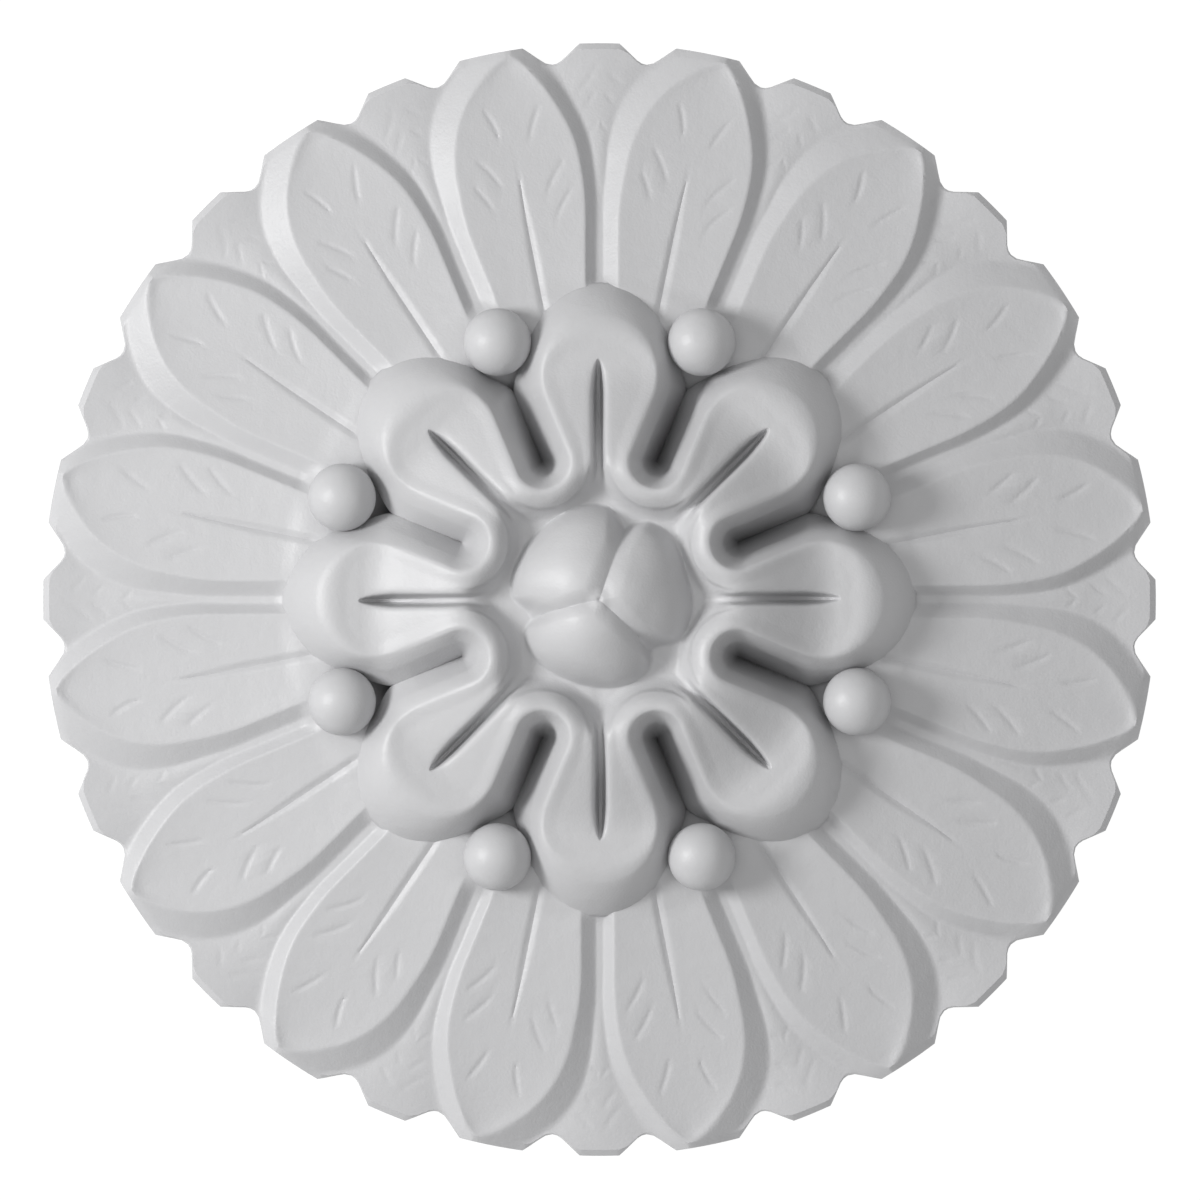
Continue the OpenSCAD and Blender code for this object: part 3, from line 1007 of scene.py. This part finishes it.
@dataclass
class Boss:
    """A domed boss of three lobes that lean on each other, with creases between them."""

    flower: Flower
    top_h: float = 75.0
    lean: float = 8.0
    lobe_r: tuple[float, float, float] = (28.8, 26.9, 29.1)
    stretch: float = 1.3
    lobes: tuple[float, float, float] = (71.2, 190.8, 326.6)
    creases: tuple[float, float, float] = (18.9, 131.0, 258.7)
    swell: float = 0.15
    swell_span: Pair = (16.0, 34.0)
    swell_near: float = 15.0
    swell_ease: float = 0.6
    swell_ease_span: Pair = (20.0, 60.0)
    crease_depth: float = 1.8
    crease_w: float = 6.5
    crease_slope: float = 0.7
    crease_start: Pair = (0.3, 6.0)
    dimple_depth: float = 0.7
    dimple_r: float = 1.4
    edge_r: float = 43.0
    foot_h: float = 46.0
    fillet: float = 1.5
    moat_from: float = 30.0
    sunk: float = 0.01
    sunk_span: Pair = (36.0, 38.0)
    rings: int = 72
    step: float = 1.5
    sharp: float = 60.0

    def swollen(self, r: Array, angle: Array) -> Array:
        """Radius shrunk so that the lobes swell out between their creases."""
        near = np.min([np.abs(wrapped(angle - c, 360.0)) for c in self.creases], axis=0)
        ease = 1.0 - self.swell_ease * ramp(near, *self.swell_ease_span)
        swell = self.swell * smooth(near / self.swell_near) * ease
        return r / (1.0 + swell * ramp(r, *self.swell_span))

    def height(self, r: Array, angle: Array) -> Array:
        """Height of the dome: the highest of three stretched balls, pinched at the creases.

        Each crease is a cut that deepens with the nearness to the line where two lobes
        are level, and a small dimple marks where the three lines meet.
        """
        x, y = polar(self.swollen(r, angle), angle)
        levels = []
        for a, lobe_r in zip(self.lobes, self.lobe_r):
            cx, cy = polar(self.lean, a)
            inside = np.clip(1.0 - ((x - cx) ** 2 + (y - cy) ** 2) / lobe_r**2, 1e-4, 1.0)
            levels.append(self.stretch * lobe_r * (np.sqrt(inside) - 1.0))
        levels = np.sort(np.stack(levels), axis=0)
        nearness = np.clip(1.0 - (levels[2] - levels[1]) / self.crease_slope / self.crease_w, 0.0, 1.0)
        pinch = self.crease_depth * nearness**1.6 * ramp(r, *self.crease_start)
        dimple = self.dimple_depth * smooth(1.0 - r / self.dimple_r)
        return self.top_h + levels[2] - pinch - dimple

    def build(self) -> bpy.types.Object:
        """Build the boss as one closed shell of rings round its middle.

        A soft maximum of the dome and the moat makes the fillet between them, and the
        shell's skirt runs out a hair below the moat.
        """
        radii = np.concatenate([[self.edge_r], np.linspace(self.edge_r, 0.0, self.rings, endpoint=False)])
        angle = np.arange(0.0, 360.0, self.step)
        r, a = np.meshgrid(radii, angle, indexing="ij")
        x, y = polar(r, a)
        moat = self.flower.top_anywhere(np.maximum(r, self.moat_from), a)
        z = soft_max(self.height(r, a), moat, self.fillet) - self.sunk * ramp(r, *self.sunk_span)
        z[0] = self.foot_h
        crown = self.height(np.zeros(1), np.zeros(1))[0]
        shell = capped(np.stack([x, y, z], axis=-1), (0.0, 0.0, self.foot_h), (0.0, 0.0, crown))
        return make_piece("boss", *shell, self.sharp)


@dataclass
class Beads:
    """A round bead in the mouth of each channel, its foot sunk in the leaves."""

    plan: PetalPlan
    radius: float = 13.7
    at: float = 112.0
    height: float = 35.0
    sunk: float = 1.2
    foot_share: float = 0.93
    sway: float = 0.85
    rings: int = 20
    step: float = 6.0
    sharp: float = 60.0

    def build(self) -> bpy.types.Object:
        """Build the beads as one piece of closed shells.

        Each bead is a ball above its equator, and a cylinder that narrows a little down
        into the leaves below it.
        """
        rise = np.radians(np.linspace(0.0, 90.0, self.rings, endpoint=False))
        radii = np.concatenate([[self.radius * self.foot_share], self.radius * np.cos(rise)])
        heights = np.concatenate([[-self.sunk * self.radius], self.radius * np.sin(rise)]) + self.height
        angle = np.arange(0.0, 360.0, self.step)
        x, y = polar(radii[:, None], angle)
        z = np.repeat(heights[:, None], len(angle), axis=1)
        grid = np.stack([x, y, z], axis=-1)
        one, quads, caps = capped(grid, (0.0, 0.0, heights[0]), (0.0, 0.0, self.height + self.radius))
        turn = np.arange(self.plan.petals)
        places = (turn + 0.5) * 2 * self.plan.half_angle + np.where(turn % 2 == 0, -self.sway, self.sway)
        cx, cy = polar(np.full(len(places), self.at), places)
        centres = np.stack([cx, cy, 0.0 * cx], axis=-1)
        points = (one[None] + centres[:, None]).reshape(-1, 3)
        shift = (turn * len(one))[:, None, None]
        quads, caps = (quads[None] + shift).reshape(-1, 4), (caps[None] + shift).reshape(-1, 3)
        return make_piece("bead_ring", points, quads, caps, self.sharp)


# ---------------- studio


class LightRole(Enum):
    """The lights of the set."""

    KEY = "key"
    TOP = "top"
    FILL = "fill"


@dataclass
class Studio:
    """Pale paper, a soft box from the left, a wide one overhead, an even fill and the camera."""

    paper_size: float = 14.0
    paper_gap: float = 0.0002
    view_w: float = 0.4853
    camera_at: tuple[float, float, float] = (0.0002, -0.0002, 1.2)
    off_axis: float = 52.0
    distance: float = 4.0
    azimuth: float = 6.0
    key_size: Pair = (1.0, 1.3)
    key_power: float = 130.0
    top_size: Pair = (3.0, 3.0)
    top_distance: float = 2.5
    top_power: float = 22.0
    fill: float = 0.33
    finish: StudioPaper = StudioPaper()

    def paper(self) -> bpy.types.Object:
        """Lay the paper under the rose."""
        half, low = self.paper_size / 2, -self.paper_gap
        mesh = bpy.data.meshes.new("paper")
        corners = [(-half, -half, low), (half, -half, low), (half, half, low), (-half, half, low)]
        mesh.from_pydata(corners, [], [(0, 1, 2, 3)])
        paper = bpy.data.objects.new("paper", mesh)
        bpy.context.scene.collection.objects.link(paper)
        paper.data.materials.append(self.finish.material())
        return paper

    def light(self, role: LightRole) -> None:
        """Set up one light: the key and the top light are soft boxes, the fill an even world."""
        if role is LightRole.KEY:
            self.soft_box("key", self.key_size, self.key_power, self.distance, self.off_axis)
        elif role is LightRole.TOP:
            self.soft_box("top", self.top_size, self.top_power, self.top_distance, 0.0)
        else:
            world = bpy.data.worlds.new("studio")
            world.use_nodes = True
            back = world.node_tree.nodes["Background"]
            back.inputs["Color"].default_value = (1.0, 1.0, 1.0, 1.0)
            back.inputs["Strength"].default_value = self.fill
            bpy.context.scene.world = world

    def soft_box(
        self, name: str, size: Pair, power: float, distance: float, off_axis: float
    ) -> None:
        """Hang a soft box that faces the rose.

        Args:
            name: Name of the light.
            size: Its two sides in metres.
            power: Its power in watts.
            distance: Distance from the rose in metres.
            off_axis: Angle between its direction and the rose's axis in degrees.
        """
        box = bpy.data.lights.new(name, "AREA")
        box.shape = "RECTANGLE"
        box.size, box.size_y = size
        box.energy = power
        lamp = bpy.data.objects.new(name, box)
        tilt, turn = math.radians(off_axis), math.radians(self.azimuth)
        away = distance * math.sin(tilt)
        lamp.location = (-away * math.cos(turn), away * math.sin(turn), distance * math.cos(tilt))
        lamp.rotation_euler = (0.0, -tilt, -turn)
        lamp.visible_camera = False
        bpy.context.scene.collection.objects.link(lamp)

    def camera(self) -> None:
        """Hang the camera straight over the rose, without perspective."""
        lens = bpy.data.cameras.new("camera")
        lens.type = "ORTHO"
        lens.ortho_scale = self.view_w
        camera = bpy.data.objects.new("camera", lens)
        camera.location = self.camera_at
        bpy.context.scene.collection.objects.link(camera)
        bpy.context.scene.camera = camera

    def build(self) -> None:
        """Lay the paper, set the lights and hang the camera."""
        self.paper()
        for role in LightRole:
            self.light(role)
        self.camera()
        bpy.context.scene.view_settings.view_transform = "Standard"
        bpy.context.scene.view_settings.look = "None"


@dataclass
class CeilingRose:
    """The whole rose: its sub-assemblies and its finish."""

    finish: PrimerFinish = PrimerFinish()

    def build(self) -> None:
        """Build each shell, dress it and tie it to the frame."""
        plan = PetalPlan()
        primer = self.finish.material()
        flower = Flower(plan=plan)
        for part in (LeafRing(), flower, Boss(flower=flower), Beads(plan=plan)):
            piece = part.build()
            piece.data.materials.append(primer)
            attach(piece, BODY)
            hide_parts(CAD_NODE)
            LOG.info("%s: %d faces", piece.name, len(piece.data.polygons))


def main() -> None:
    """Build the rose and its studio, and note the sizes."""
    logging.basicConfig(level=logging.INFO, format="%(name)s: %(message)s")
    CeilingRose().build()
    Studio().build()
    bpy.context.view_layer.update()


if __name__ == "__main__":
    main()
